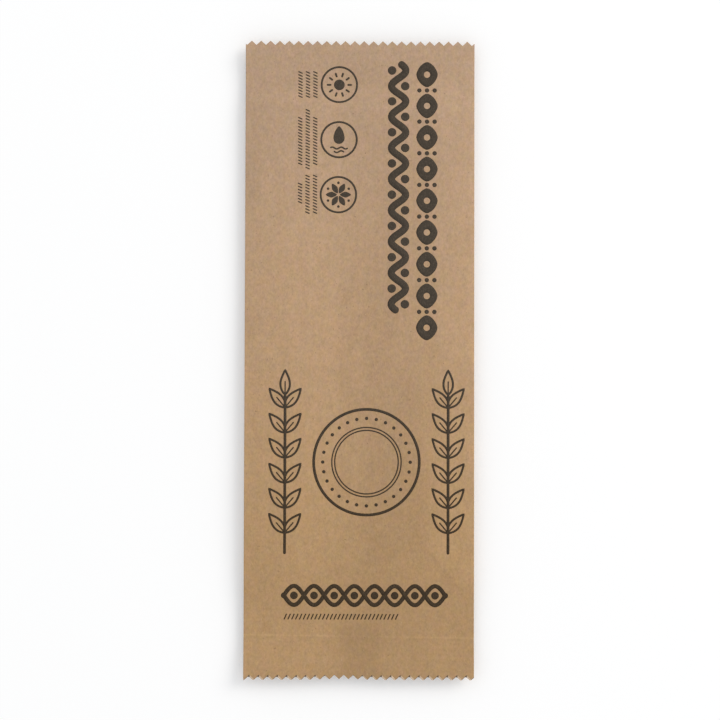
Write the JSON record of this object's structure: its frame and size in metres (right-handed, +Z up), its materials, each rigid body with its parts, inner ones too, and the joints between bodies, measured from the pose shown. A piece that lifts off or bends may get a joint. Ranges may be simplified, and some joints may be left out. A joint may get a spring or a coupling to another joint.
{
  "type": "sealed paper cutlery packet",
  "caption": "Flat sealed kraft-paper packet with zigzag-cut ends and a lapped back seam, holding a wooden knife, a fork and a folded napkin.",
  "frame": {"origin": "on the surface that the packet lies on, under the middle of its outline", "axes": "+X across the packet, +Y along it towards the head of the print, +Z up out of the printed face"},
  "size_m": [0.075, 0.209, 0.0048],
  "materials": {
    "kraft_paper": "uncoated brown kraft paper, matt, with fine fibres and soft mottling",
    "printed_ink": "one dark brown printing ink, matt, soaked into the paper"
  },
  "bodies": {
    "root": {"paper_packet": "kraft_paper"}
  },
  "joints": []
}
